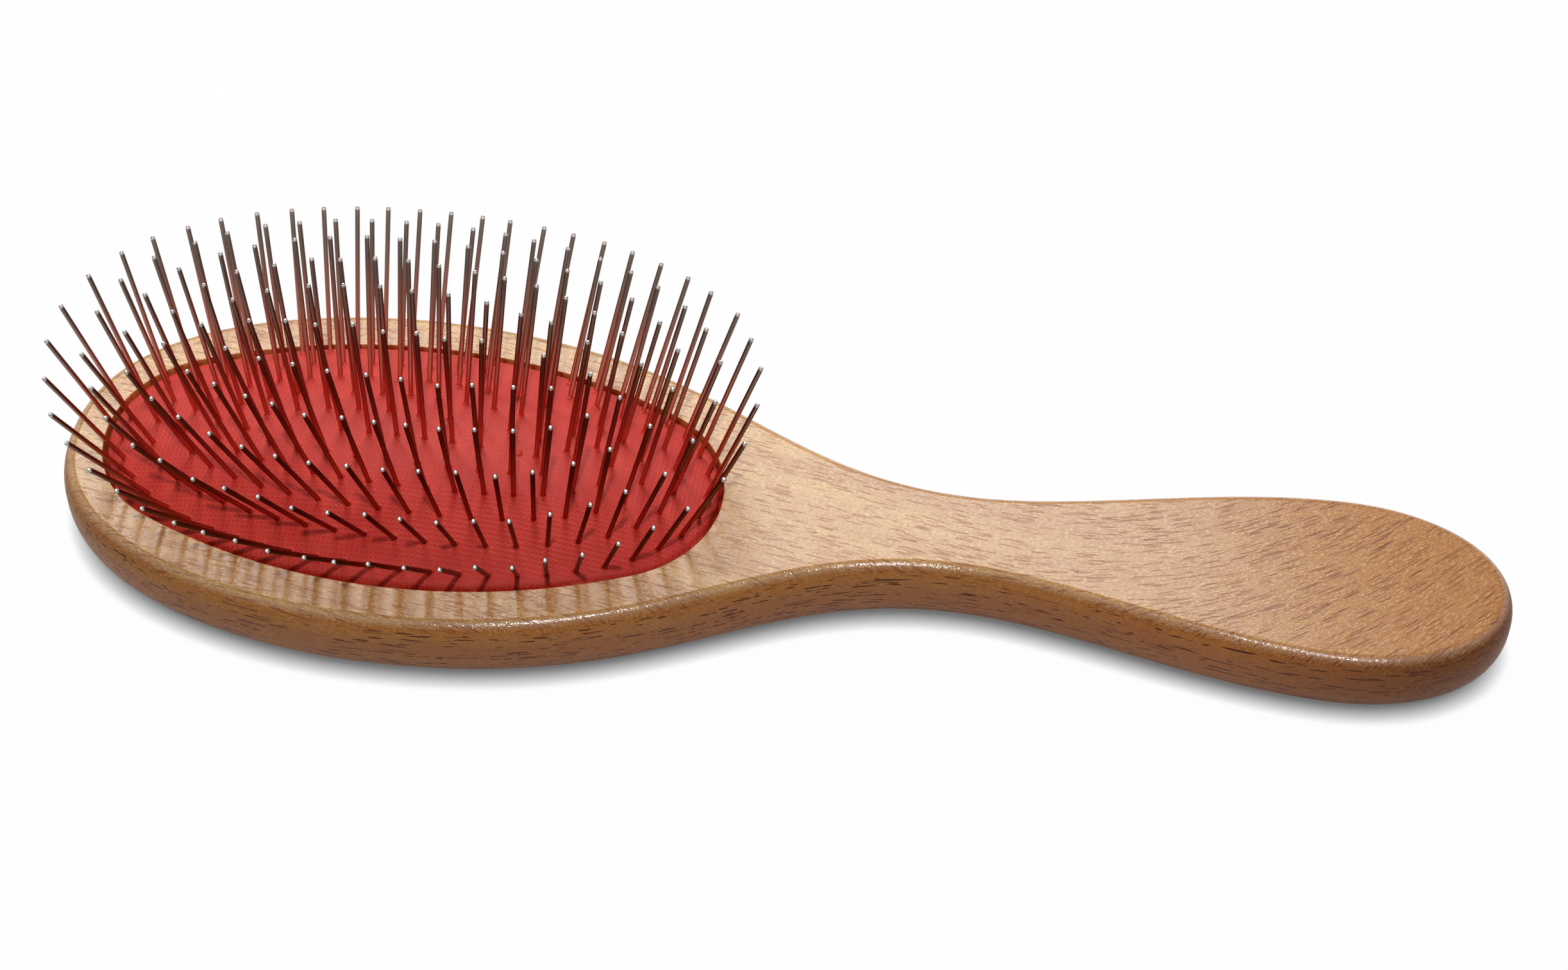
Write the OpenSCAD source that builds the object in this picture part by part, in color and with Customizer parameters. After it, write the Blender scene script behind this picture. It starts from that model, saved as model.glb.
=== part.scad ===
// Pin brush for long coats. A one-piece beech body carries an oval rubber air
// cushion, and fanned steel pins stand in the cushion. All sizes are millimetres.
// The origin lies on the rest plane under the centre of the oval opening, with
// +X along the brush towards the end of the grip and +Z up through the pins.

/* [Body] */
// Thickness of the wood
body_t = 13; // [12:0.5:18]
// Width of the head at its widest
head_w = 66; // [63:0.5:80]
// From the opening's centre to the nose of the head
nose_x = 55.8; // [54.5:0.1:66]
// From the opening's centre back to the widest part of the head
head_x = 2.5; // [0:0.5:8]
// Width of the neck at its waist
neck_w = 17.6; // [14:0.2:26]
// From the opening's centre to the waist of the neck
neck_x = 87; // [80:1:98]
// Width of the grip at its widest
grip_w = 34.2; // [28:0.2:42]
// From the opening's centre to the widest part of the grip
grip_x = 145; // [130:1:150]
// From the opening's centre to the end of the grip
tail_x = 170.9; // [165:0.1:200]
// How far the rounded upper edge reaches in from the outline
top_round = 2.4; // [1:0.1:3]
// How far the rounded upper edge reaches down the side
top_drop = 4.4; // [2:0.1:5]
// How far the rounded back edge reaches in from the outline
back_round = 5; // [3:0.1:7]
// How far the rounded back edge reaches up the side
back_rise = 7.4; // [4:0.1:7.6]

/* [Opening] */
// Length of the oval opening
opening_l = 98.6; // [90:0.2:101]
// Width of the oval opening
opening_w = 50.4; // [46:0.2:54]
// Radius of the opening's two ends, as a share of its width
opening_round = 0.367; // [0.3:0.001:0.4]
// Depth of the pocket under the top face
pocket_depth = 8.4; // [7.5:0.1:9]
// From the top face down to the groove that holds the cushion
groove_drop = 3.4; // [3:0.1:4]
// How far the groove is cut in beyond the opening
groove_reach = 2.2; // [1.6:0.1:2.6]

/* [Cushion] */
// Thickness of the rubber skin
skin_t = 1.5; // [1.2:0.1:2]
// Height of the crown above the top face of the wood
crown_h = 6.3; // [5:0.1:8]
// Gap between the cushion's wall and the edge of the opening
wall_gap = 0.7; // [0.4:0.1:1]
// Diameter of the air vent
vent_d = 1.4; // [1:0.1:2]

/* [Pins] */
// Diameter of the wire
pin_d = 0.76; // [0.6:0.02:1.1]
// Length of a pin above the cushion
pin_len = 23.5; // [18:0.5:27]
// Diameter of the flat head behind the cushion
pin_head_d = 1.8; // [1.4:0.1:2.4]
// Thickness of the flat head
pin_head_t = 0.4; // [0.3:0.05:0.6]
// Clearance round the wire where it passes through the rubber
pin_clear = 0.02; // [0.01:0.01:0.05]
// Clearance between the rubber and the flat head
head_clear = 0.12; // [0.08:0.02:0.3]
// Outward lean of a pin at the ends of the opening, in degrees
lean_end = 23; // [15:0.5:35]
// Outward lean of a pin at the sides of the opening, in degrees
lean_side = 42.5; // [30:0.5:46]
// Largest stray lean of a single pin, in degrees
pin_stray = 1.2; // [0:0.1:2]

/* [Pin pattern] */
// How far the pattern sits towards the neck
field_x = 0.4; // [0:0.1:1.2]
// From the end of the opening to the outer ring of pins
margin_end = 2.9; // [2.8:0.1:5]
// From the side of the opening to the outer ring of pins
margin_side = 2.9; // [2.6:0.1:4]
// Spacing of the rings along the brush
ring_step_end = 5; // [4:0.1:5.2]
// Spacing of the rings across the brush
ring_step_side = 4.3; // [4:0.1:4.6]
// Pins in each ring, from the outer ring inwards
ring_count = [51, 42, 35, 31, 23];
// Where each ring starts, as a share of its own spacing
ring_start = [0.03, 0.82, 0.84, 0.27, 0.71];
// Places in the straight row down the middle
row_count = 10; // [8:1:10]
// Spacing in the middle row
row_step = 4.4; // [4.2:0.1:5]
// Place in the middle row that the air vent takes
vent_place = 8; // [1:1:9]
// From that place to the vent
vent_shift = 1.6; // [0:0.1:1.8]

/* [Hidden] */
$fn = 96;

beech = [0.80, 0.63, 0.42];
red_rubber = [0.75, 0.22, 0.20];
steel = [0.45, 0.43, 0.42];

// Fullness of the outline's curves, as shares of the span from one station to the next
nose_pull = [0.87, 0.24];
shoulder_pull = [0.54, 0.36];
throat_pull = [0.30, 0.355];
tail_pull = [0.57, 0.575];
curve_steps = 18;
edge_steps = 6;

// A point at t on a cubic curve that leaves p0 along a and reaches p1 along b
function curve_point(p0, a, b, p1, t) =
    pow(1 - t, 3) * p0 + 3 * t * pow(1 - t, 2) * (p0 + a)
    + 3 * t * t * (1 - t) * (p1 - b) + pow(t, 3) * p1;
function curve(p0, a, b, p1) =
    [for (i = [0:curve_steps - 1]) curve_point(p0, a, b, p1, i / curve_steps)];

// Stations of the outline: nose, head, waist, grip and tail
nose = [-nose_x, 0];
head = [-head_x, head_w / 2];
waist = [neck_x, neck_w / 2];
grip = [grip_x, grip_w / 2];
tail = [tail_x, 0];
function span_x(p, q) = [q.x - p.x, 0];

half_outline = concat(
    curve(nose, [0, nose_pull[0] * head.y], nose_pull[1] * span_x(nose, head), head),
    curve(head, shoulder_pull[0] * span_x(head, waist), shoulder_pull[1] * span_x(head, waist), waist),
    curve(waist, throat_pull[0] * span_x(waist, grip), throat_pull[1] * span_x(waist, grip), grip),
    curve(grip, tail_pull[0] * span_x(grip, tail), [0, -tail_pull[1] * grip.y], tail),
    [tail]);
outline = concat(half_outline,
    [for (i = [len(half_outline) - 2:-1:1]) [half_outline[i].x, -half_outline[i].y]]);
outline_n = len(outline);

function unit(v) = v / norm(v);
function edge_normal(i) =
    let (d = outline[(i + 1) % outline_n] - outline[(i + outline_n - 1) % outline_n])
    unit([-d.y, d.x]);
outline_normals = [for (i = [0:outline_n - 1]) edge_normal(i)];

// Rounded edges of the wood's side as [inset from the outline, height]
back_edge = [for (i = [0:edge_steps]) let (q = 90 * i / edge_steps)
    [back_round * (1 - sin(q)), back_rise * (1 - cos(q))]];
top_edge = [for (i = [0:edge_steps]) let (q = 90 * i / edge_steps)
    [top_round * (1 - cos(q)), body_t - top_drop * (1 - sin(q))]];

// Side section from the back to the top, run past both flat faces, which are planed later
function past(end, before) = 2 * end - before;
side_section = concat(
    [past(back_edge[0], back_edge[1])],
    [for (i = [1:edge_steps]) back_edge[i]],
    [for (i = [0:edge_steps - 1]) top_edge[i]],
    [past(top_edge[edge_steps], top_edge[edge_steps - 1])]);

// Cushion sizes, all measured from the opening
opening_a = opening_l / 2;
opening_b = opening_w / 2;
opening_end_r = opening_round * opening_w;
wall_a = opening_a - wall_gap;
wall_b = opening_b - wall_gap;
wall_end_r = opening_end_r - wall_gap;
flange_base = body_t - groove_drop - skin_t;
flange_play = 0.3;

// The crown is part of a barrel: one radius across the brush, a larger one along it
cross_r = (wall_b * wall_b + crown_h * crown_h) / (2 * crown_h);
long_r = (wall_a * wall_a + crown_h * crown_h) / (2 * crown_h);
barrel_z = body_t + crown_h - cross_r;
function crown_z(x, y) =
    barrel_z + sqrt(pow(cross_r - long_r + sqrt(long_r * long_r - x * x), 2) - y * y);

// Pin rings: full ovals of equal spacing
ring_power = 2.17;
arc_step = 2;
function signed_power(v) = sign(v) * pow(abs(v), 2 / ring_power);
function ring_point(k, t) = [
    field_x + (opening_a - margin_end - k * ring_step_end) * signed_power(cos(t)),
    (opening_b - margin_side - k * ring_step_side) * signed_power(sin(t))];
function ring_travel(k) = [for (t = 0, s = 0; t <= 360;
    s = s + norm(ring_point(k, t + arc_step) - ring_point(k, t)), t = t + arc_step) [s, t]];
function ring_places(k) =
    let (travel = ring_travel(k), total = travel[len(travel) - 1][0], n = ring_count[k])
    [for (i = [0:n - 1]) ring_point(k, lookup((i + ring_start[k]) * total / n, travel))];
row_x = [for (i = [0:row_count - 1]) field_x + (i - (row_count - 1) / 2) * row_step];
row_places = [for (i = [0:row_count - 1]) if (i != vent_place) [row_x[i], 0]];
vent_x = row_x[vent_place] + vent_shift;

// The pins fan out: gently near the middle, more towards the rim
flat_share = 0.67;
function fan(p) =
    let (u = p.x / opening_a, v = p.y / opening_b)
    [tan(lean_end) * u * (flat_share + (1 - flat_share) * (u * u + v * v)), tan(lean_side) * v];
function strays(n, seed) = rands(-1, 1, 2 * n, seed);
function pin_axis(p, stray) = unit(concat(fan(p) + tan(pin_stray) * stray, 1));
function pin_frames(places, seed) =
    let (s = strays(len(places), seed))
    [for (i = [0:len(places) - 1])
        [[places[i].x, places[i].y, crown_z(places[i].x, places[i].y)],
         pin_axis(places[i], [s[2 * i], s[2 * i + 1]])]];
rings = [for (k = [0:len(ring_count) - 1]) pin_frames(ring_places(k), 11 + k)];
middle_row = pin_frames(row_places, 31);

// Depth of the flat head under the crown, clear of the inner face, which slopes up to seat_tilt
seat_tilt = 16.5;
head_depth = skin_t / cos(seat_tilt) + head_clear + tan(seat_tilt) * pin_head_d / 2;

module along(p, axis) {
    translate(p) rotate([0, acos(axis.z), atan2(axis.y, axis.x)]) children();
}

// Upright oval of four arcs, from z0 to z1
module oval(a, b, end_r, z0, z1) {
    side_r = (pow(a - end_r, 2) + b * b - end_r * end_r) / (2 * (b - end_r));
    end_x = a - end_r;
    join_x = side_r * end_x / (side_r - end_r);
    translate([0, 0, z0]) {
        for (side = [-1, 1]) translate([side * end_x, 0, 0]) cylinder(r = end_r, h = z1 - z0);
        intersection() {
            translate([0, b - side_r, 0]) cylinder(r = side_r, h = z1 - z0, $fn = 360);
            translate([0, side_r - b, 0]) cylinder(r = side_r, h = z1 - z0, $fn = 360);
            translate([-join_x, -b, 0]) cube([2 * join_x, 2 * b, z1 - z0]);
        }
    }
}

// Barrel whose upper face is the crown, moved inwards by depth
module barrel(depth) {
    r = cross_r - depth;
    translate([0, 0, barrel_z]) rotate([0, 90, 0]) rotate_extrude($fn = 240) intersection() {
        translate([cross_r - long_r, 0]) circle(r = long_r - depth, $fn = 720);
        translate([0, -opening_a]) square([r + 1, opening_l]);
    }
}

module wood_block() {
    levels = len(side_section);
    points = [for (s = side_section, i = [0:outline_n - 1])
        concat(outline[i] - s[0] * outline_normals[i], s[1])];
    sides = [for (j = [0:levels - 2], i = [0:outline_n - 1])
        [j * outline_n + i, (j + 1) * outline_n + i,
         (j + 1) * outline_n + (i + 1) % outline_n, j * outline_n + (i + 1) % outline_n]];
    back = [for (i = [0:outline_n - 1]) i];
    top = [for (i = [outline_n - 1:-1:0]) (levels - 1) * outline_n + i];
    intersection() {
        polyhedron(points = points, faces = concat([back], sides, [top]));
        translate([-tail_x, -head_w, 0]) cube([2 * tail_x, 2 * head_w, body_t]);
    }
}

module body() {
    color(beech) difference() {
        wood_block();
        oval(opening_a, opening_b, opening_end_r, body_t - pocket_depth, body_t + 1);
        oval(opening_a + groove_reach, opening_b + groove_reach, opening_end_r + groove_reach,
            flange_base, flange_base + skin_t);
    }
}

module cushion() {
    flange_a = opening_a + groove_reach - flange_play;
    flange_b = opening_b + groove_reach - flange_play;
    flange_r = opening_end_r + groove_reach - flange_play;
    color(red_rubber) difference() {
        union() {
            intersection() {
                oval(wall_a, wall_b, wall_end_r, flange_base, body_t + crown_h + 1);
                barrel(0);
            }
            oval(flange_a, flange_b, flange_r, flange_base, flange_base + skin_t);
        }
        intersection() {
            oval(wall_a - skin_t, wall_b - skin_t, wall_end_r - skin_t, flange_base - 1, body_t + crown_h);
            barrel(skin_t);
        }
        for (ring = rings, f = ring) pin_hole(f);
        for (f = middle_row) pin_hole(f);
        translate([vent_x, 0, body_t]) cylinder(d = vent_d, h = crown_h + 1, $fn = 24);
    }
}

module pin_hole(f) {
    along(f[0], f[1]) translate([0, 0, -2 * skin_t])
        cylinder(d = pin_d + 2 * pin_clear, h = 4 * skin_t, $fn = 24);
}

// One pin: flat head, wire and round tip, standing on its place in the crown
module pin() {
    tip_z = pin_len - pin_d / 2;
    rotate_extrude($fn = 24) intersection() {
        union() {
            translate([0, -head_depth - pin_head_t]) square([pin_head_d / 2, pin_head_t]);
            translate([0, -head_depth]) square([pin_d / 2, head_depth + tip_z]);
            translate([0, tip_z]) circle(d = pin_d);
        }
        translate([0, -2 * head_depth]) square([pin_head_d, pin_len + 3 * head_depth]);
    }
}

module pin_group(frames) {
    color(steel) for (f = frames) along(f[0], f[1]) pin();
}

// The pins of one ring that lie in one quarter of the cushion
module ring_quarter(k, nose_end, front) {
    pin_group([for (f = rings[k])
        if ((f[0].x < field_x) == nose_end && (f[0].y < 0) == front) f]);
}

body();
cushion();
for (k = [0:len(ring_count) - 1]) {
    ring_quarter(k, true, true);
    ring_quarter(k, true, false);
    ring_quarter(k, false, true);
    ring_quarter(k, false, false);
}
pin_group(middle_row);  // pins_middle_row
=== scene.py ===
import math
import bpy
import bmesh
import numpy as np
from mathutils import Euler, Matrix, Vector, noise
from mathutils.geometry import interpolate_bezier


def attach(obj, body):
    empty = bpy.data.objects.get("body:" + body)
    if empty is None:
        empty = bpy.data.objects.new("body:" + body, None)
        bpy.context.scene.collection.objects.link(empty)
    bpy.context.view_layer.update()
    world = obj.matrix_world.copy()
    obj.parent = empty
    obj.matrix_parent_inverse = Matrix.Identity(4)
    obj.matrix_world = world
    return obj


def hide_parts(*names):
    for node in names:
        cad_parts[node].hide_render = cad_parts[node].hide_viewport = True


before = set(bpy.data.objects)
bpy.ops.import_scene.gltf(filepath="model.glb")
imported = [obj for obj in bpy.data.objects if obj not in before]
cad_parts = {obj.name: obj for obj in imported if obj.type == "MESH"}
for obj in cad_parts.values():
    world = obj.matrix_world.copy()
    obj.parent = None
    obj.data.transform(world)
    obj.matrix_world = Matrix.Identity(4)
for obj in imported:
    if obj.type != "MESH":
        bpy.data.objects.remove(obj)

mm = 0.001
oneSpot = 0.001 * mm  # points this near each other are one
scene = bpy.context.scene
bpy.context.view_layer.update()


# camera, at the photograph's angle
cameraSet = {
    "place": (0.11194, -0.32399, 0.38400),
    "turn": (41.933, 0.032, 9.245),
    "lens": 73.62,
    "sensor": 36.0,
    "clip": (0.01, 10.0),
}

cameraData = bpy.data.cameras.new("studioCamera")
cameraData.lens = cameraSet["lens"]
cameraData.sensor_width = cameraSet["sensor"]
cameraData.clip_start, cameraData.clip_end = cameraSet["clip"]
camera = bpy.data.objects.new("studioCamera", cameraData)
camera.location = cameraSet["place"]
camera.rotation_euler = Euler([math.radians(a) for a in cameraSet["turn"]], "XYZ")
scene.collection.objects.link(camera)
scene.camera = camera
print("camera set")


# colours are given as seen on screen, 0 to 255, and go through the screen's own curve
def paint(red, green, blue):
    shades = []
    for value in (red / 255, green / 255, blue / 255):
        shades.append(value / 12.92 if value <= 0.04045 else ((value + 0.055) / 1.055) ** 2.4)
    return (*shades, 1.0)


class Finish:
    # the nodes of a new material or world, laid out by short calls
    def __init__(self, owner, output="OutputMaterial"):
        self.owner = owner
        owner.use_nodes = True
        self.tree = owner.node_tree
        self.tree.nodes.clear()
        self.output = self.add(output)

    def add(self, kind, **settings):
        node = self.tree.nodes.new("ShaderNode" + kind)
        for name, value in settings.items():
            setattr(node, name, value)
        return node

    def put(self, socket, value):
        # a socket takes a link, a fixed value, or stays as it is
        if isinstance(value, bpy.types.NodeSocket):
            self.tree.links.new(value, socket)
        elif value is not None:
            socket.default_value = value

    def math(self, operation, a, b=None, c=None, clamp=False):
        node = self.add("Math", operation=operation, use_clamp=clamp)
        for socket, value in zip(node.inputs, (a, b, c)):
            self.put(socket, value)
        return node.outputs[0]

    def vector(self, operation, a, b=None):
        node = self.add("VectorMath", operation=operation)
        self.put(node.inputs[0], a)
        self.put(node.inputs[1], b)
        return node.outputs[0]

    def split(self, source):
        node = self.add("SeparateXYZ")
        self.put(node.inputs[0], source)
        return node.outputs

    def join(self, *values):
        node = self.add("CombineXYZ")
        for socket, value in zip(node.inputs, values):
            self.put(socket, value)
        return node.outputs[0]

    def stretch(self, source, scale, turn=(0, 0, 0)):
        node = self.add("Mapping")
        self.put(node.inputs["Vector"], source)
        self.put(node.inputs["Scale"], scale)
        self.put(node.inputs["Rotation"], [math.radians(a) for a in turn])
        return node.outputs[0]

    def cloud(self, source, scale=1.0, detail=2.0, rough=0.5, warp=0.0):
        node = self.add("TexNoise")
        self.put(node.inputs["Vector"], source)
        settings = {"Scale": scale, "Detail": detail, "Roughness": rough, "Distortion": warp}
        for name, value in settings.items():
            self.put(node.inputs[name], value)
        return node.outputs["Fac"]

    def ramp(self, value, stops, smooth="LINEAR"):
        # stops are pairs of a position and a grey level
        node = self.add("ValToRGB")
        node.color_ramp.interpolation = smooth
        points = node.color_ramp.elements
        while len(points) < len(stops):
            points.new(0.5)
        for point, (spot, level) in zip(points, stops):
            point.position = spot
            point.color = (level, level, level, 1)
        self.put(node.inputs[0], value)
        return node.outputs[0]

    def mix(self, amount, a, b):
        # sockets 6 and 7 of the mix node are the ones for colours
        node = self.add("Mix", data_type="RGBA")
        for index, value in ((0, amount), (6, a), (7, b)):
            self.put(node.inputs[index], value)
        return node.outputs[2]

    def relief(self, height, strength, depth, below=None):
        node = self.add("Bump")
        self.put(node.inputs["Height"], height)
        self.put(node.inputs["Strength"], strength)
        self.put(node.inputs["Distance"], depth)
        self.put(node.inputs["Normal"], below)
        return node.outputs[0]

    def shader(self, kind="BsdfPrincipled", **values):
        node = self.add(kind)
        for name, value in values.items():
            self.put(node.inputs[name.replace("_", " ")], value)
        return node.outputs[0]

    def blend(self, amount, a, b):
        node = self.add("MixShader")
        for socket, value in zip(node.inputs, (amount, a, b)):
            self.put(socket, value)
        return node.outputs[0]

    def surface(self, shader):
        self.put(self.output.inputs["Surface"], shader)
        return self.owner


def newMaterial(name):
    return Finish(bpy.data.materials.new(name))


def place(name, bm, material):
    # turns a finished bmesh into an object of the scene
    mesh = bpy.data.meshes.new(name)
    bm.to_mesh(mesh)
    bm.free()
    mesh.materials.append(material)
    thing = bpy.data.objects.new(name, mesh)
    scene.collection.objects.link(thing)
    return thing


def stock(name, bm, material, slot, *nodes):
    # a piece that rides on the brush in place of its CAD nodes
    piece = place(name, bm, material)
    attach(piece, "root")
    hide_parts(*nodes)
    return piece


def only(geometry, kind):
    return [g for g in geometry if isinstance(g, kind)]


def edgesOf(verts):
    # every edge once, always in the same order
    return list(dict.fromkeys(e for v in verts for e in v.link_edges))


def newLoop(bm, edges):
    # carries an open rim on to a new rim, which the caller then moves
    grown = bmesh.ops.extrude_edge_only(bm, edges=edges)["geom"]
    verts = only(grown, bmesh.types.BMVert)
    fresh = set(verts)
    return verts, [e for e in only(grown, bmesh.types.BMEdge) if fresh.issuperset(e.verts)]


# the oval of four arcs that the opening and the cushion share
openingSize = {
    "halfLength": 49.3 * mm,
    "halfWidth": 25.2 * mm,
    "endRadius": 0.367 * 50.4 * mm,  # a share of the opening's width
    "points": 240,
    "fineSteps": 7200,
}


def ovalArcs():
    a, b, r = (openingSize[k] for k in ("halfLength", "halfWidth", "endRadius"))
    side = ((a - r) ** 2 + b * b - r * r) / (2 * (b - r))
    endX = a - r
    return side, endX, side * endX / (side - r)


def ovalPoint(angle, grow=0.0):
    # point of the oval whose outward normal has this angle, moved out by grow
    a, b, r = (openingSize[k] for k in ("halfLength", "halfWidth", "endRadius"))
    side, endX, joinX = ovalArcs()
    c, s = math.cos(angle), math.sin(angle)
    if abs(c) * side > joinX:
        return Vector((math.copysign(endX, c) + (r + grow) * c, (r + grow) * s, 0))
    return Vector(((side + grow) * c, (side + grow) * s - math.copysign(side - b, s), 0))


def evenAngles(count):
    # normal angles that step round the oval by equal lengths
    steps = openingSize["fineSteps"]
    fine = [2 * math.pi * i / steps for i in range(steps + 1)]
    points = [ovalPoint(t) for t in fine]
    lengths = [(q - p).length for p, q in zip(points, points[1:])]
    travel = np.concatenate(([0], np.cumsum(lengths)))
    return [float(t) for t in np.interp(np.arange(count) * travel[-1] / count, travel, fine)]


ovalAngles = evenAngles(openingSize["points"])


def bearing(co):
    return math.atan2(co.y, co.x) % (2 * math.pi)


def ovalLoop(bm, edges, grow, height):
    # the next loop of the oval: grow outwards, at a height or at a function's height
    verts, rim = newLoop(bm, edges)
    order = sorted(verts, key=lambda v: bearing(v.co))
    spots = sorted((ovalPoint(t, grow) for t in ovalAngles), key=bearing)
    for vert, spot in zip(order, spots):
        vert.co = (spot.x, spot.y, height(spot.x, spot.y) if callable(height) else height)
    return rim


# beech body
beechSize = {
    "thickness": 13.0 * mm,
    # points of half the outline in mm, then how far the curve's handles reach between them
    "nose": (-55.8, 0.0),
    "head": (-2.5, 33.0),
    "waist": (87.0, 8.8),
    "grip": (145.0, 17.1),
    "tail": (170.9, 0.0),
    "nosePull": (0.87, 0.24),
    "shoulderPull": (0.54, 0.36),
    "throatPull": (0.30, 0.355),
    "tailPull": (0.57, 0.575),
    "curveSteps": 42,
    "topRound": 2.4 * mm,
    "topDrop": 4.4 * mm,
    "backRound": 5.0 * mm,
    "backRise": 7.4 * mm,
    "edgeSteps": 12,
    "pocketDepth": 8.4 * mm,
    "grooveDrop": 3.4 * mm,
    "grooveHeight": 1.5 * mm,
    "grooveReach": 2.2 * mm,
    "lipRound": 0.16 * mm,
    "sharpFrom": 50,  # degrees between faces that keep a crisp edge
}


def beechOutline():
    s = beechSize
    nose, head, waist, grip, tail = (
        Vector(s[k]).to_3d() * mm for k in ("nose", "head", "waist", "grip", "tail"))
    along = Vector((1, 0, 0))
    across = Vector((0, 1, 0))
    spans = (
        (nose, nose + across * s["nosePull"][0] * head.y,
         head - along * s["nosePull"][1] * (head.x - nose.x), head),
        (head, head + along * s["shoulderPull"][0] * (waist.x - head.x),
         waist - along * s["shoulderPull"][1] * (waist.x - head.x), waist),
        (waist, waist + along * s["throatPull"][0] * (grip.x - waist.x),
         grip - along * s["throatPull"][1] * (grip.x - waist.x), grip),
        (grip, grip + along * s["tailPull"][0] * (tail.x - grip.x),
         tail + across * s["tailPull"][1] * grip.y, tail),
    )
    half = []
    for span in spans:
        half += interpolate_bezier(*span, s["curveSteps"])[:-1]
    half.append(tail)
    return half + [Vector((p.x, -p.y, 0)) for p in half[-2:0:-1]]


def beechMesh():
    s = beechSize
    outline = beechOutline()
    bm = bmesh.new()
    bmesh.ops.create_circle(bm, cap_ends=True, segments=len(outline), radius=1)
    bm.verts.ensure_lookup_table()
    for vert, point in zip(bm.verts, outline):
        vert.co = (point.x, point.y, s["backRise"])

    # straight band of the side, then the rounded edges towards the top and the back
    lower = bm.faces[:][0]
    grown = bmesh.ops.extrude_face_region(bm, geom=[lower], use_keep_orig=True)["geom"]
    upper = only(grown, bmesh.types.BMFace)[0]
    bandTop = s["thickness"] - s["topDrop"]
    for vert in upper.verts:
        vert.co.z = bandTop
    bmesh.ops.recalc_face_normals(bm, faces=bm.faces[:])
    steps = s["edgeSteps"]
    for face, reach, start, rise in ((upper, s["topRound"], bandTop, s["topDrop"]),
                                     (lower, s["backRound"], s["backRise"], -s["backRise"])):
        for i in range(1, steps + 1):
            q, before = (math.pi / 2 * k / steps for k in (i, i - 1))
            bmesh.ops.inset_region(bm, faces=[face], use_boundary=True, use_even_offset=True,
                                   thickness=reach * (math.cos(before) - math.cos(q)))
            for vert in face.verts:
                vert.co.z = start + rise * math.sin(q)
    flatRim = list(upper.edges)
    bmesh.ops.delete(bm, geom=[upper], context="FACES_ONLY")

    # the opening, its pocket and the groove that holds the cushion
    circle = bmesh.ops.create_circle(bm, segments=len(ovalAngles), radius=1)["verts"]
    for vert, angle in zip(circle, ovalAngles):
        vert.co = ovalPoint(angle) + Vector((0, 0, s["thickness"]))
    lip = edgesOf(circle)
    bmesh.ops.triangle_fill(bm, edges=flatRim + lip, use_beauty=True, normal=(0, 0, 1))
    rim = lip
    grooveTop = s["thickness"] - s["grooveDrop"]
    grooveFloor = grooveTop - s["grooveHeight"]
    for grow, height in ((0, grooveTop), (s["grooveReach"], grooveTop),
                         (s["grooveReach"], grooveFloor), (0, grooveFloor),
                         (0, s["thickness"] - s["pocketDepth"])):
        rim = ovalLoop(bm, rim, grow, height)
    bmesh.ops.contextual_create(bm, geom=rim)
    bmesh.ops.recalc_face_normals(bm, faces=bm.faces[:])
    lip = [e for e in lip if e.is_valid]
    bmesh.ops.bevel(bm, geom=lip, offset=s["lipRound"], offset_type="OFFSET", segments=2,
                    profile=0.5, affect="EDGES", material=-1, clamp_overlap=False)
    for face in bm.faces:
        face.smooth = True
    for edge in bm.edges:
        if edge.is_manifold and edge.calc_face_angle() > math.radians(s["sharpFrom"]):
            edge.smooth = False
    return bm


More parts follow.
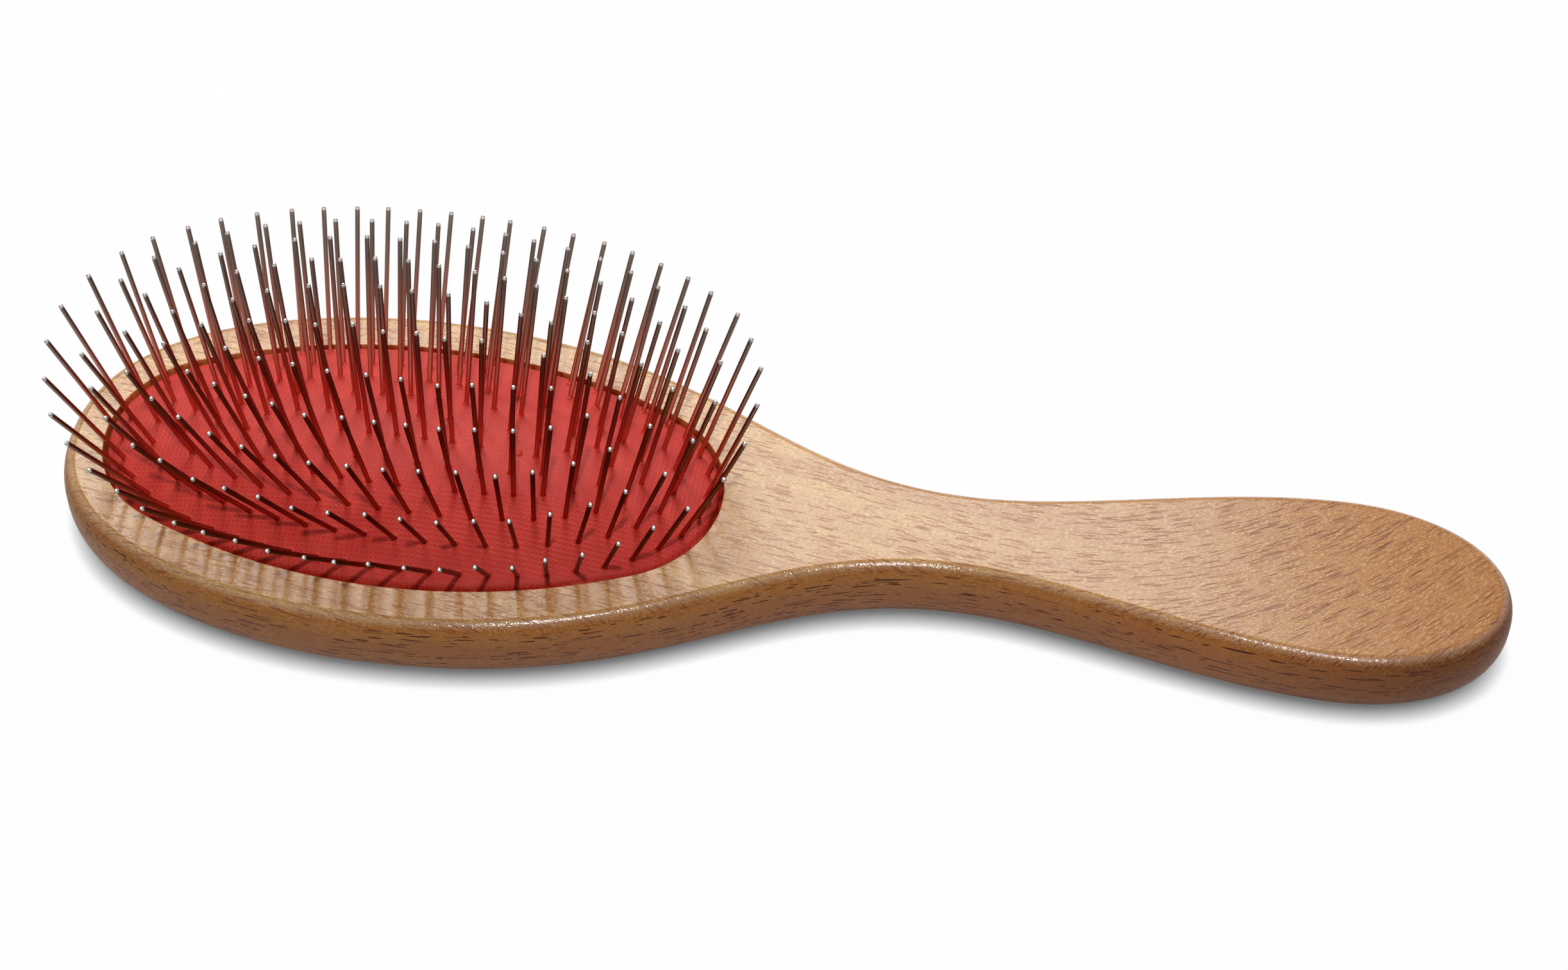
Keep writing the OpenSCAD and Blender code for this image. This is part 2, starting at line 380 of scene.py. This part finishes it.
beechLook = {
    "pale": paint(207, 159, 88),
    "deep": paint(187, 130, 68),
    "amber": paint(178, 108, 50),
    "pore": paint(150, 94, 46),
    # pale specks in the pores: painted highlights for the lacquer's sparkle, strongest on the flat top
    "paintedSparkle": paint(238, 206, 140),
    # the rounded edge's golden band and the side's darker, pinker tone: partly the wood's own tone,
    # partly painted shade
    "edge": paint(190, 110, 48),
    "side": paint(176, 108, 70),
    "end": paint(118, 62, 24),
    "fleckTop": paint(158, 88, 30),
    "fleckGrip": paint(120, 50, 6),
    "fleckSide": paint(84, 38, 16),
    # the grain leans a little, and from bendFrom on it swings across the grip
    "lean": 0.16,
    "bend": 8.4,
    "bendFrom": 0.09,
    # how often each pattern repeats in a metre, along the grain and across it
    "boardGrain": (9, 260, 260),
    "fibreGrain": (260, 3600, 3600),
    "poreGrain": (1700, 4400, 4400),
    "sparkleGrain": (3400, 5200, 5200),
    "topFleckGrain": (270, 2900, 300),
    "sideFleckGrain": (250, 300, 2600),
    "slideGrain": (10, 1300, 1300),
    "slideReach": 3.0,
    # ramps over the length, which counts 5 to the metre from the middle of the opening
    "lengthCount": 5.0,
    "amberRamp": ((0.34, 0.0), (0.80, 0.85)),
    "endRamp": ((0.64, 0.0), (0.80, 1.0)),
    "fleckGripRamp": ((0.40, 0.0), (0.70, 1.0)),
    # ramps over the rounded edge, from the flat top at 0 to the side at 1
    "edgeRamp": ((0.0, 0.0), (0.25, 0.75), (0.6, 0.5), (1.0, 0.0)),
    "sideRamp": ((0.35, 0.0), (1.0, 0.85)),
    "endSideRamp": ((0.02, 0.0), (0.3, 0.9)),
    "paintedSparkleSideRamp": ((0.0, 1.0), (0.5, 0.25)),
    "fleckSideRamp": ((0.25, 0.0), (0.40, 1.0)),
    "fleckLevel": ((0.0, 0.85), (0.4, 1.0)),
    "sparkleLevel": ((0.0, 0.3), (0.03, 1.0), (0.8, 0.6)),
    "coatLevel": ((0.0, 0.25), (0.012, 0.25), (0.035, 0.9), (0.12, 0.6), (0.25, 0.06)),
    # ramps over the patterns themselves
    "boardRamp": ((0.38, 0.0), (0.64, 1.0)),
    "fibreRamp": ((0.42, 0.0), (0.75, 0.6)),
    "poreRamp": ((0.52, 0.0), (0.66, 0.6)),
    "paintedSparkleRamp": ((0.34, 0.6), (0.47, 0.0)),
    "topFleckRamp": ((0.28, 1.0), (0.48, 0.0)),
    "sideFleckRamp": ((0.30, 1.0), (0.43, 0.0)),
    "fleckChoice": ((0.36, 0.0), (0.64, 1.0)),
    "roughRamp": ((0.3, 0.42), (0.8, 0.58)),
    # strength and depth of the raised fibres and the sunken flecks
    "fibreRelief": (0.55, 0.05 * mm),
    "fleckRelief": (0.35, -0.04 * mm),
    "sparkleDepth": 0.036 * mm,
}


def beechFinish():
    f = newMaterial("lacqueredBeech")
    look = beechLook
    where = f.add("TexCoord").outputs["Object"]
    x, y, z = f.split(where)
    past = f.math("MAXIMUM", f.math("SUBTRACT", x, look["bendFrom"]), 0.0)
    swing = f.math("MULTIPLY", f.math("MULTIPLY", past, past), look["bend"])
    across = f.math("MULTIPLY_ADD", x, look["lean"], f.math("SUBTRACT", y, swing))
    along = f.join(x, across, z)
    gripward = f.math("MULTIPLY", x, look["lengthCount"])
    drop = f.math("SUBTRACT", beechSize["thickness"], z)
    edge = f.math("DIVIDE", drop, beechSize["topDrop"], clamp=True)

    # slow change of tone along the board, warmer towards the end of the grip, then fibres and pores;
    # the rounded edge and the side are darker, partly the wood's own tone and partly painted shade,
    # and pale specks are painted highlights
    board = f.cloud(f.stretch(along, look["boardGrain"]), detail=3.0, rough=0.6, warp=0.6)
    fibre = f.cloud(f.stretch(along, look["fibreGrain"]), detail=3.0, rough=0.65)
    pores = f.cloud(f.stretch(along, look["poreGrain"]), detail=3.0, rough=0.6)
    end = f.math("MULTIPLY", f.ramp(gripward, look["endRamp"]), f.ramp(edge, look["endSideRamp"]))
    # painted highlight: pale specks in the pores, strongest on the top
    paintedSparkle = f.math("MULTIPLY", f.ramp(pores, look["paintedSparkleRamp"]), f.ramp(edge, look["paintedSparkleSideRamp"]))
    tone = look["pale"]
    for amount, colour in (
            (f.ramp(board, look["boardRamp"]), "deep"), (f.ramp(gripward, look["amberRamp"]), "amber"),
            # the edge and side colours darken the rounded edge and the side: partly wood tone, partly
            # painted shade
            (f.ramp(fibre, look["fibreRamp"]), "deep"), (f.ramp(edge, look["edgeRamp"]), "edge"),
            (f.ramp(edge, look["sideRamp"]), "side"), (end, "end"),
            (f.ramp(pores, look["poreRamp"]), "pore"), (paintedSparkle, "paintedSparkle")):
        tone = f.mix(amount, tone, look[colour])

    # short brown ray flecks, soft on the top and dark on the sides
    flecks = []
    for source, name in ((along, "topFleck"), (where, "sideFleck")):
        # the rows slide along the grain, so that the flecks don't line up
        shift = f.cloud(f.stretch(source, look["slideGrain"]), detail=0.0)
        slide = f.join(f.math("MULTIPLY", shift, look["slideReach"]))
        cells = f.add("TexVoronoi", feature="F1")
        f.put(cells.inputs["Vector"], f.vector("ADD", f.stretch(source, look[name + "Grain"]), slide))
        f.put(cells.inputs["Scale"], 1.0)
        chosen = f.add("SeparateColor")
        f.put(chosen.inputs[0], cells.outputs["Color"])
        spindle = f.ramp(cells.outputs["Distance"], look[name + "Ramp"], "EASE")
        flecks.append(f.math("MULTIPLY", spindle, f.ramp(chosen.outputs[0], look["fleckChoice"])))
    below = f.ramp(edge, look["fleckSideRamp"])
    fleck = f.mix(below, *flecks)
    fleckTone = f.mix(f.ramp(gripward, look["fleckGripRamp"]), look["fleckTop"], look["fleckGrip"])
    fleckTone = f.mix(below, fleckTone, look["fleckSide"])
    tone = f.mix(f.math("MULTIPLY", fleck, f.ramp(edge, look["fleckLevel"])), tone, fleckTone)

    # fibres raised under the lacquer break its gloss into sparkles
    sparkle = f.cloud(f.stretch(along, look["sparkleGrain"]), detail=0.0)
    normal = f.relief(fibre, *look["fibreRelief"], f.relief(fleck, *look["fleckRelief"]))
    glossy = f.relief(sparkle, f.ramp(edge, look["sparkleLevel"]), look["sparkleDepth"], normal)
    return f.surface(f.shader(
        Base_Color=tone, Roughness=f.ramp(fibre, look["roughRamp"]), Normal=normal,
        Specular_IOR_Level=0.1, Coat_Weight=f.ramp(edge, look["coatLevel"]), Coat_IOR=1.8,
        Coat_Roughness=0.12, Coat_Normal=glossy))


beechBody = stock("beechBody", beechMesh(), beechFinish(), "beech", "body")
weighted = beechBody.modifiers.new("evenShading", "WEIGHTED_NORMAL")
weighted.keep_sharp = True
print("beech body made", len(beechBody.data.polygons))


# feet and directions of the pins, read from the CAD pins
pinSize = {
    "length": 23.5 * mm,
    "diameter": 0.76 * mm,
    "sides": 12,
    # the wire goes on under the skin, and the rings there keep its shading even
    "under": (1.0 * mm, 0.7 * mm),
    # the tip's rings in radii of the wire: how wide, and how far below the top
    "tip": ((1, 1.3), (1, 0.8), (0.82, 0.34), (0.45, 0.07), (0, 0)),
}
pinNodes = [name for name in sorted(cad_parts) if name.startswith("pins_")]


def pinFrames():
    # each loose part of a CAD pin node is one pin, and its longest way is the pin's axis
    frames = []
    for name in pinNodes:
        bm = bmesh.new()
        bm.from_mesh(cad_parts[name].data)
        bmesh.ops.remove_doubles(bm, verts=bm.verts[:], dist=2 * oneSpot)
        waiting = dict.fromkeys(bm.verts)
        while waiting:
            island = [next(iter(waiting))]
            del waiting[island[0]]
            for vert in island:
                for edge in vert.link_edges:
                    beside = edge.other_vert(vert)
                    if beside in waiting:
                        del waiting[beside]
                        island.append(beside)
            points = np.array([v.co for v in island])
            middle = points.mean(0)
            axis = np.linalg.svd(points - middle, full_matrices=False)[2][0]
            axis = axis * np.sign(axis[2])
            reach = ((points - middle) @ axis).max()
            frames.append((Vector(middle + axis * (reach - pinSize["length"])), Vector(axis)))
        bm.free()
    return frames


pins = pinFrames()
print("pins found", len(pins))


def plant(bm, verts):
    # sets a copy of a small upright part at every pin's foot, along the pin
    one = list(verts) + edgesOf(verts)
    one += dict.fromkeys(f for v in verts for f in v.link_faces)
    for foot, axis in pins:
        copy = bmesh.ops.duplicate(bm, geom=one)["geom"]
        turned = Matrix.Translation(foot) @ axis.to_track_quat("Z", "X").to_matrix().to_4x4()
        bmesh.ops.transform(bm, matrix=turned, verts=only(copy, bmesh.types.BMVert))
    bmesh.ops.delete(bm, geom=list(verts), context="VERTS")


def lathe(bm, profile, steps):
    # turns a profile of (radius, height) round the upright axis and gives its verts
    line = [bm.verts.new((x, 0, z)) for x, z in profile]
    edges = [bm.edges.new(pair) for pair in zip(line, line[1:])]
    before = set(bm.verts) - set(line)
    bmesh.ops.spin(bm, geom=line + edges, cent=(0, 0, 0), axis=(0, 0, 1), angle=2 * math.pi,
                   steps=steps, use_merge=True, use_duplicate=False)
    made = [v for v in bm.verts if v not in before]
    bmesh.ops.remove_doubles(bm, verts=made, dist=oneSpot)
    return [v for v in made if v.is_valid]


# red rubber cushion
cushionSize = {
    "crown": 6.3 * mm,
    "wallGap": 0.7 * mm,
    "skin": 1.5 * mm,
    "flangePlay": 0.3 * mm,
    "shoulder": 0.7 * mm,
    "shoulderDrop": 0.56 * mm,
    "shoulderSteps": 6,
    "rings": 46,
    "ripple": 0.10 * mm,
    "rippleCount": 110,  # to the metre, as the counts in the materials are
    "ventDiameter": 1.4 * mm,
    "ventX": 17.4 * mm,
    "ventSides": 20,
    "ventTurn": (0.12 * mm, 0.92),  # the tube's first step: how deep, and its share of the width
    "weave": (0.78 * mm, 0.8268 * mm),  # one cell, along the brush and across it
    "collarHeight": 0.22 * mm,
    "collarRadius": 0.56 * mm,
    "collarSides": 12,
    # from foot to lip, in shares of the collar's radius and height
    "collarProfile": ((1.5, -0.14 / 0.22), (1.08, 0.15), (0.92, 0.85), (0.74, 1.0), (0.6, -1.0)),
}


def crownRadii():
    # radii of the crown's two arcs, across the brush and along it
    a = openingSize["halfLength"] - cushionSize["wallGap"]
    b = openingSize["halfWidth"] - cushionSize["wallGap"]
    h = cushionSize["crown"]
    return (b * b + h * h) / (2 * h), (a * a + h * h) / (2 * h)


def crownHeight(x, y):
    cross, long = crownRadii()
    ridge = cross - long + math.sqrt(long * long - x * x)
    return beechSize["thickness"] + cushionSize["crown"] - cross + math.sqrt(ridge * ridge - y * y)


def markVent(bm):
    # the skin is made flat round the vent and isn't cut: a small closed tube stands in it there
    s = cushionSize
    radius = s["ventDiameter"] / 2
    vent = Vector((s["ventX"], 0, crownHeight(s["ventX"], 0)))
    bmesh.ops.dissolve_verts(bm, verts=[v for v in bm.verts if (v.co - vent).length < 2 * radius])
    circle = bmesh.ops.create_circle(bm, cap_ends=True, segments=s["ventSides"], radius=radius,
                                     matrix=Matrix.Translation(vent))["verts"]
    rim = edgesOf(circle)
    for drop, share in (s["ventTurn"], (s["skin"], 1.0)):
        verts, rim = newLoop(bm, rim)
        bmesh.ops.scale(bm, verts=verts, vec=(share, share, 1), space=Matrix.Translation(-vent))
        bmesh.ops.translate(bm, verts=verts, vec=(0, 0, -drop))
    bmesh.ops.contextual_create(bm, geom=rim)


def cushionMesh():
    s = cushionSize
    flange = beechSize["grooveReach"] - s["flangePlay"]
    base = beechSize["thickness"] - beechSize["grooveDrop"] - s["skin"]
    top = beechSize["thickness"]
    bm = bmesh.new()
    circle = bmesh.ops.create_circle(bm, cap_ends=True, segments=len(ovalAngles), radius=1)["verts"]
    for vert, angle in zip(circle, ovalAngles):
        vert.co = ovalPoint(angle, flange) + Vector((0, 0, base))
    rim = bm.edges[:]

    # flange in the groove, wall, rolled shoulder
    for grow, height in ((flange, base + s["skin"]), (-s["wallGap"], base + s["skin"]),
                         (-s["wallGap"], top - s["shoulderDrop"])):
        rim = ovalLoop(bm, rim, grow, height)
    for i in range(1, s["shoulderSteps"] + 1):
        q = math.pi / 2 * i / s["shoulderSteps"]
        rim = ovalLoop(bm, rim, -s["wallGap"] - s["shoulder"] * (1 - math.cos(q)),
                       lambda px, py: crownHeight(px, py) - s["shoulderDrop"] * (1 - math.sin(q)))
    # crown, ring by ring towards the middle
    for i in range(1, s["rings"]):
        verts, rim = newLoop(bm, rim)
        share = (s["rings"] - i) / (s["rings"] - i + 1)
        bmesh.ops.scale(bm, verts=verts, vec=(share, share, 1))
        for vert in verts:
            vert.co.z = crownHeight(vert.co.x, vert.co.y)
    bmesh.ops.contextual_create(bm, geom=rim)
    markVent(bm)
    bmesh.ops.recalc_face_normals(bm, faces=bm.faces[:])

    # a slight unevenness, as rubber has over the pins' heads
    for vert in bm.verts:
        above = vert.co.z - top
        if above > 0:
            vert.co.z += s["ripple"] * noise.noise(vert.co * s["rippleCount"]) * min(1, above / mm)

    # collars drawn up where the pins pass through
    collar = [(r * s["collarRadius"], h * s["collarHeight"]) for r, h in s["collarProfile"]]
    plant(bm, lathe(bm, collar, s["collarSides"]))
    for face in bm.faces:
        face.smooth = True

    # the weave follows the skin, so its map is measured along the crown's two arcs
    cross, long = crownRadii()
    weave = bm.loops.layers.uv.new("weave")
    for face in bm.faces:
        for loop in face.loops:
            co = loop.vert.co
            loop[weave].uv = (long * math.asin(max(-1, min(1, co.x / long))),
                              cross * math.asin(max(-1, min(1, co.y / cross))))
    return bm


rubberLook = {
    "red": paint(206, 40, 25),
    "dark": paint(190, 29, 18),
    # painted sheen: a lighter pink laid on the weave's raised rings
    "ridge": paint(238, 122, 108),
    # each cell is a small raised square ring between sunken lines
    "ringRamp": ((0.0, 0.1), (0.25, 0.15), (0.35, 1.0), (0.41, 0.8), (0.5, 0.0)),
    "cornerRound": 0.1,
    "paintedRingSheen": 0.34,
    # the rings are pressed in more or less clearly from place to place
    "patchCount": 140,
    "patchRamp": ((0.3, 0.55), (0.6, 1.0)),
    "toneRamp": ((0.3, 0.0), (0.7, 1.0)),
    "creaseGrain": (45, 520, 1),
    "creaseTurn": (0, 0, -6),
    "bloomCount": 5200,
    "roughRamp": ((0.3, 0.42), (0.7, 0.56)),
    # strength and depth
    "ringRelief": (0.5, 0.06 * mm),
    "creaseRelief": (0.2, 0.3 * mm),
    "bloomRelief": (0.15, 0.02 * mm),
}


def rubberFinish():
    f = newMaterial("embossedRedRubber")
    look = rubberLook
    where = f.add("TexCoord").outputs["Object"]
    weave = f.add("UVMap", uv_map="weave").outputs[0]
    wide, deep = (1 / size for size in cushionSize["weave"])
    parts = f.split(f.stretch(weave, (wide, deep, 1)))
    cell = [f.math("ABSOLUTE", f.math("SUBTRACT", f.math("FRACT", part), 0.5)) for part in parts[:2]]
    away = f.math("SMOOTH_MAX", *cell, look["cornerRound"])
    patch = f.cloud(where, scale=look["patchCount"])
    ring = f.math("MULTIPLY", f.ramp(away, look["ringRamp"], "EASE"), f.ramp(patch, look["patchRamp"]))
    red = f.mix(f.ramp(patch, look["toneRamp"]), look["dark"], look["red"])
    # painted sheen: the raised rings get the lighter pink
    red = f.mix(f.math("MULTIPLY", ring, look["paintedRingSheen"]), red, look["ridge"])

    # faint creases across the skin, and a fine bloom on the rubber
    crease = f.cloud(f.stretch(where, look["creaseGrain"], look["creaseTurn"]), detail=1.0, warp=0.4)
    bloom = f.cloud(where, scale=look["bloomCount"], detail=1.0)
    normal = f.relief(bloom, *look["bloomRelief"])
    normal = f.relief(crease, *look["creaseRelief"], normal)
    normal = f.relief(ring, *look["ringRelief"], normal)
    return f.surface(f.shader(Base_Color=red, Roughness=f.ramp(bloom, look["roughRamp"]),
                              Normal=normal, Specular_IOR_Level=0.25))


rubberCushion = stock("rubberCushion", cushionMesh(), rubberFinish(), "red_rubber", "cushion")
print("rubber cushion made", len(rubberCushion.data.polygons))


# polished steel pins
def pinMesh():
    s = pinSize
    r, length = s["diameter"] / 2, s["length"]
    bm = bmesh.new()
    drawn = bm.loops.layers.uv.new("drawn")
    profile = [(r, -depth) for depth in s["under"]]
    profile += [(wide * r, length - low * r) for wide, low in s["tip"]]
    verts = lathe(bm, profile, s["sides"])
    bmesh.ops.holes_fill(bm, edges=bm.edges[:], sides=s["sides"])
    bmesh.ops.recalc_face_normals(bm, faces=bm.faces[:])
    full = 2 * math.pi
    for face in bm.faces:
        face.smooth = len(face.verts) < 5  # all but the flat end under the skin
        middle = face.calc_center_median()
        start = math.atan2(middle.y, middle.x)
        for loop in face.loops:
            co = loop.vert.co
            turn = (math.atan2(co.y, co.x) - start + math.pi) % full - math.pi
            loop[drawn].uv = ((start + turn) / full, co.z / length)
    plant(bm, verts)
    return bm


steelLook = {
    "steel": paint(130, 114, 105),
    "dull": paint(110, 96, 88),
    # painted reflection: the rubber's red laid on the wire near its foot
    "foot": paint(208, 132, 114),
    # on the tip, a light rim and a dark ring are painted reflections, and the white spot at the top is
    # a painted highlight
    "collar": paint(184, 178, 174),
    "paintedDarkRing": paint(58, 52, 50),
    "paintedGlint": paint(250, 250, 250),
    "rim": paint(152, 136, 126),
    "drawGrain": (40, 3, 1),
    "dullRamp": ((0.35, 0.0), (0.7, 1.0)),
    "roughRamp": ((0.3, 0.12), (0.7, 0.24)),
    # how far up the pin each colour starts or ends
    "footRamp": ((0.1, 1.0), (0.85, 0.0)),
    "collarRamp": ((0.976, 0.0), (0.979, 1.0)),
    "paintedDarkRingRamp": ((0.9925, 0.0), (0.9940, 1.0)),
    "paintedGlintRamp": ((0.9976, 0.0), (0.9986, 1.0)),
}


def steelFinish():
    f = newMaterial("polishedSteelWire")
    look = steelLook
    drawn = f.add("UVMap", uv_map="drawn").outputs[0]
    lines = f.cloud(f.stretch(drawn, look["drawGrain"]))
    colour = f.mix(f.ramp(lines, look["dullRamp"]), look["steel"], look["dull"])
    # painted reflection of the rubber's red near the wire's foot; the tip is ground and polished, and
    # on it a light rim and a dark ring are painted reflections and the white spot at the top is a
    # painted highlight
    height = f.split(drawn)[1]
    for part in ("foot", "collar", "paintedDarkRing", "paintedGlint"):
        colour = f.mix(f.ramp(height, look[part + "Ramp"]), colour, look[part])
    return f.surface(f.shader(Base_Color=colour, Metallic=1.0, Specular_Tint=look["rim"],
                              Roughness=f.ramp(lines, look["roughRamp"])))


steelPins = stock("steelPins", pinMesh(), steelFinish(), "pin_steel", *pinNodes)
print("steel pins made", len(steelPins.data.polygons))


# floor, lamps and world
studio = {
    "floorHalf": 1.5,
    # each lamp's direction from the brush, distance, size and watts
    "aim": (0.03, 0.0, 0.01),
    "keyFrom": (0.150, -0.512, 0.846),
    "keyAway": 1.6,
    "keySize": (0.04, 0.04),
    "keyPower": 8.2,
    "softFrom": (-0.145, 0.64, 0.76),
    "softAway": 1.15,
    "softSize": (0.70, 0.40),
    "softPower": 10.6,
    "worldLevel": 0.04,
    "worldTint": (0.95, 0.97, 1.0, 1),
    "white": (1, 1, 1, 1),
    "floorMatte": (0.7, 0.7, 0.71, 1),
    "floorGlow": 0.98,
    # the short dark shadow where the brush meets the floor
    "contactReach": 0.0038,
    "contactRays": 16,
    "contactRamp": ((0.25, 0.15), (0.9, 1.0)),
}


def whiteRays(f):
    # 1 for the camera's own rays and those from gloss or glass, which see white all round
    rays = f.add("LightPath").outputs
    mirrored = f.math("MAXIMUM", rays["Is Glossy Ray"], rays["Is Transmission Ray"])
    return f.math("MAXIMUM", rays["Is Camera Ray"], mirrored)


def floorFinish():
    f = newMaterial("paleFloor")
    contact = f.add("AmbientOcclusion", samples=studio["contactRays"])
    f.put(contact.inputs["Distance"], studio["contactReach"])
    shade = f.ramp(contact.outputs["AO"], studio["contactRamp"])
    glow = f.shader("Emission", Color=shade, Strength=1.0)
    matte = f.shader("BsdfDiffuse", Color=studio["floorMatte"])
    return f.surface(f.blend(f.math("MULTIPLY", whiteRays(f), studio["floorGlow"]), matte, glow))


def worldFinish():
    f = Finish(bpy.data.worlds.new("studioWorld"), "OutputWorld")
    dim = f.shader("Background", Color=studio["worldTint"], Strength=studio["worldLevel"])
    backdrop = f.shader("Background", Color=studio["white"], Strength=1.0)
    return f.surface(f.blend(whiteRays(f), dim, backdrop))


floorMesh = bmesh.new()
bmesh.ops.create_grid(floorMesh, x_segments=1, y_segments=1, size=studio["floorHalf"])
floor = place("floor", floorMesh, floorFinish())


def lamp(name):
    # an area lamp that shines at the brush from the direction in its values
    data = bpy.data.lights.new(name + "Lamp", "AREA")
    data.shape = "RECTANGLE"
    data.size, data.size_y = studio[name + "Size"]
    data.energy = studio[name + "Power"]
    holder = bpy.data.objects.new(name + "Lamp", data)
    holder.location = Vector(studio[name + "From"]).normalized() * studio[name + "Away"]
    ahead = Vector(studio["aim"]) - holder.location
    holder.rotation_euler = ahead.to_track_quat("-Z", "Y").to_euler()
    holder.visible_camera = False
    scene.collection.objects.link(holder)


# a small lamp in front for the short crisp shadows, and a wide one behind for the lacquer's sheen
for name in ("key", "soft"):
    lamp(name)

scene.world = worldFinish()
scene.view_settings.view_transform = "Standard"
print("lights and world set")
